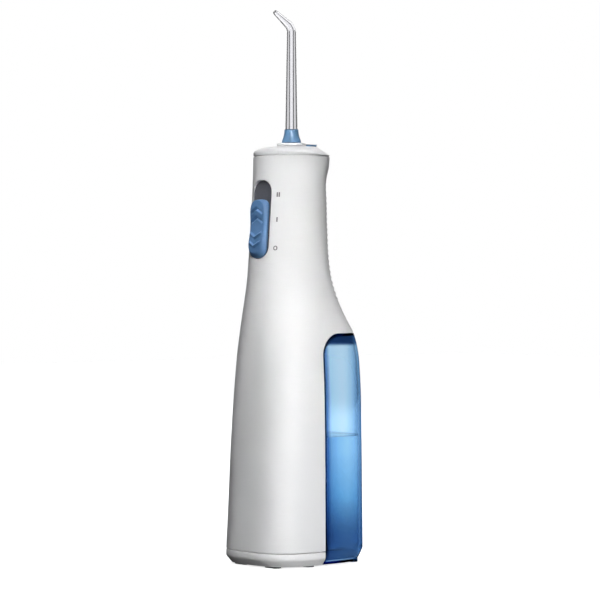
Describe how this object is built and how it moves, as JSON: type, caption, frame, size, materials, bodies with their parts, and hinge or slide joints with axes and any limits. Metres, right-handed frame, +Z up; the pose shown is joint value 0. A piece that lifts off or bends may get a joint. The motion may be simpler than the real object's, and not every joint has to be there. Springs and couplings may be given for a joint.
{
  "type": "water flosser",
  "caption": "Hand-held cordless water flosser with a ribbed grip, thumb slide switch, bent clear jet tip and lift-off clear reservoir at the rear.",
  "frame": {"origin": "on the floor, in the middle of the footprint", "axes": "+Z up, -Y towards the thumb switch and the bent jet, +Y towards the reservoir, +X to the user's left when the switch faces the user"},
  "size_m": [0.0564, 0.07, 0.2935],
  "materials": {
    "handle_white": "satin moulded white",
    "internal_grey": "matt moulded grey",
    "switch_blue": "satin mid blue",
    "tank_blue": "clear blue, polished",
    "tip_clear": "clear, polished",
    "seal_rubber": "matt black",
    "steel": "plain steel",
    "nickel": "nickel plate",
    "brass": "turned brass",
    "acetal": "natural acetal",
    "hose_silicone": "translucent silicone",
    "board_green": "green laminate",
    "cell_wrap": "dark printed sleeve, no lettering",
    "lead_red": "red insulation",
    "lead_black": "black insulation"
  },
  "bodies": {
    "handle": {"handle_shell": "handle_white", "head_cap": "handle_white", "head_seal": "seal_rubber", "switch_housing": "internal_grey", "switch_board": "board_green", "socket_o_ring": "seal_rubber", "head_bridge": "internal_grey", "chassis": "internal_grey", "pump_screw_1": "steel", "pump_screw_2": "steel", "motor_can": "steel", "motor_end_bell": "internal_grey", "gear_axle": "steel", "pump_cylinder": "internal_grey", "pump_head": "internal_grey", "inlet_barb": "internal_grey", "outlet_barb": "internal_grey", "delivery_hose": "hose_silicone", "suction_hose": "hose_silicone", "port_fitting": "internal_grey", "suction_tube": "hose_silicone", "suction_filter": "internal_grey", "battery_cell_1": "cell_wrap", "battery_cell_2": "cell_wrap", "battery_cell_3": "cell_wrap", "battery_cradle": "internal_grey", "battery_link": "nickel", "lead_red": "lead_red", "lead_black": "lead_black"},
    "switch": {"switch_slider": "switch_blue", "switch_carriage": "internal_grey"},
    "tip_turret": {"tip_socket": "handle_white"},
    "jet_tip": {"tip_nozzle": "tip_clear", "tip_collar": "switch_blue", "tip_o_ring": "seal_rubber"},
    "eject_button": {"eject_button": "switch_blue", "eject_spring": "steel"},
    "latch": {"latch_plate": "nickel"},
    "crank_gear": {"crank_gear": "acetal"},
    "motor_rotor": {"motor_shaft": "steel", "motor_pinion": "brass"},
    "piston": {"piston": "acetal", "wrist_pin": "steel", "piston_seal": "seal_rubber"},
    "connecting_rod": {"connecting_rod": "acetal"},
    "inlet_ball": {"inlet_ball": "seal_rubber"},
    "outlet_ball": {"outlet_ball": "seal_rubber"},
    "reservoir": {"reservoir_tank": "tank_blue", "reservoir_seal": "seal_rubber"},
    "base_cover": {"base_cover": "handle_white", "base_cover_seal": "seal_rubber", "contact_carrier": "internal_grey", "battery_spring_1": "nickel", "battery_spring_2": "nickel", "battery_spring_3": "nickel", "foot_1": "seal_rubber", "foot_2": "seal_rubber", "foot_3": "seal_rubber", "foot_4": "seal_rubber"},
    "cover_lock": {"cover_lock": "internal_grey"}
  },
  "joints": [
    {"name": "switch_slide", "type": "slide", "parent": "handle", "child": "switch", "axis": [0, 0.0753, 0.9972], "range_m": [0, 0.009]},
    {"name": "tip_rotate", "type": "hinge", "parent": "handle", "child": "tip_turret", "pos_m": [0, -0.0031, 0.212], "axis": [0, 0, 1], "continuous": true},
    {"name": "tip_release", "type": "slide", "parent": "tip_turret", "child": "jet_tip", "axis": [0, 0, 1], "range_m": [0, 0.03]},
    {"name": "eject_press", "type": "slide", "parent": "handle", "child": "eject_button", "axis": [0, 0, -1], "range_m": [0, 0.0012], "stiffness_N_per_m": 800, "deforming": ["eject_spring"]},
    {"name": "latch_slide", "type": "slide", "parent": "handle", "child": "latch", "axis": [0, -1, 0], "range_m": [0, 0.0006]},
    {"name": "gear_spin", "type": "hinge", "parent": "handle", "child": "crank_gear", "pos_m": [0, -0.0103, 0.1152], "axis": [0, 1, 0], "continuous": true},
    {"name": "motor_spin", "type": "hinge", "parent": "handle", "child": "motor_rotor", "pos_m": [0, -0.0168, 0.105], "axis": [0, 0, 1], "continuous": true},
    {"name": "piston_stroke", "type": "slide", "parent": "handle", "child": "piston", "axis": [0, 0, 1], "range_m": [-0.008, 0]},
    {"name": "rod_swing", "type": "hinge", "parent": "piston", "child": "connecting_rod", "pos_m": [0, -0.0077, 0.1392], "axis": [0, 1, 0], "range_deg": [-12, 12]},
    {"name": "inlet_lift", "type": "slide", "parent": "handle", "child": "inlet_ball", "axis": [0, 0, 1], "range_m": [0, 0.0008]},
    {"name": "outlet_lift", "type": "slide", "parent": "handle", "child": "outlet_ball", "axis": [0, 0, 1], "range_m": [0, 0.0008]},
    {"name": "reservoir_slide", "type": "slide", "parent": "handle", "child": "reservoir", "axis": [0, 0, -1], "range_m": [0, 0.12]},
    {"name": "base_cover_drop", "type": "slide", "parent": "handle", "child": "base_cover", "axis": [0, 0, -1], "range_m": [0, 0.02]},
    {"name": "cover_lock_turn", "type": "hinge", "parent": "base_cover", "child": "cover_lock", "pos_m": [0, -0.0171, 0.003], "axis": [0, 0, 1], "range_deg": [0, 90]}
  ],
  "couplings": [
    {"joint": "latch_slide", "follows": "eject_press", "ratio": 0.5},
    {"joint": "motor_spin", "follows": "gear_spin", "ratio": 3}
  ]
}
